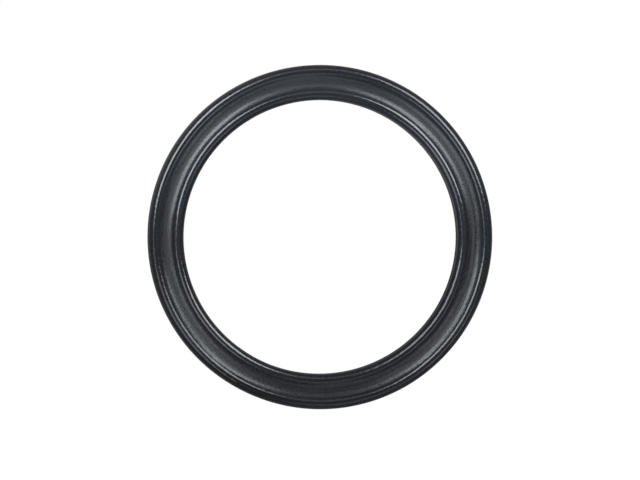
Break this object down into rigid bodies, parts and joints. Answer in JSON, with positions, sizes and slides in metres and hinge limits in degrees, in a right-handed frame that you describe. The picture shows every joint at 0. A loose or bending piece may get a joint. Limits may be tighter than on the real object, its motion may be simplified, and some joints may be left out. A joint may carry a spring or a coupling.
{
  "type": "x-ring",
  "caption": "Flat-lying rubber sealing ring whose section has a rounded lobe at each corner and a shallow hollow in each side.",
  "frame": {"origin": "centre of the ring, on its axis, midway between its upper and lower lobes", "axes": "+Z along the ring's axis; X and Y in the plane of the ring, which is round"},
  "size_m": [0.0256, 0.0256, 0.0026],
  "materials": {
    "black_rubber": "satin moulded black rubber with fine grain and faint tool marks round the ring"
  },
  "bodies": {
    "root": {"x_ring": "black_rubber"}
  },
  "joints": []
}
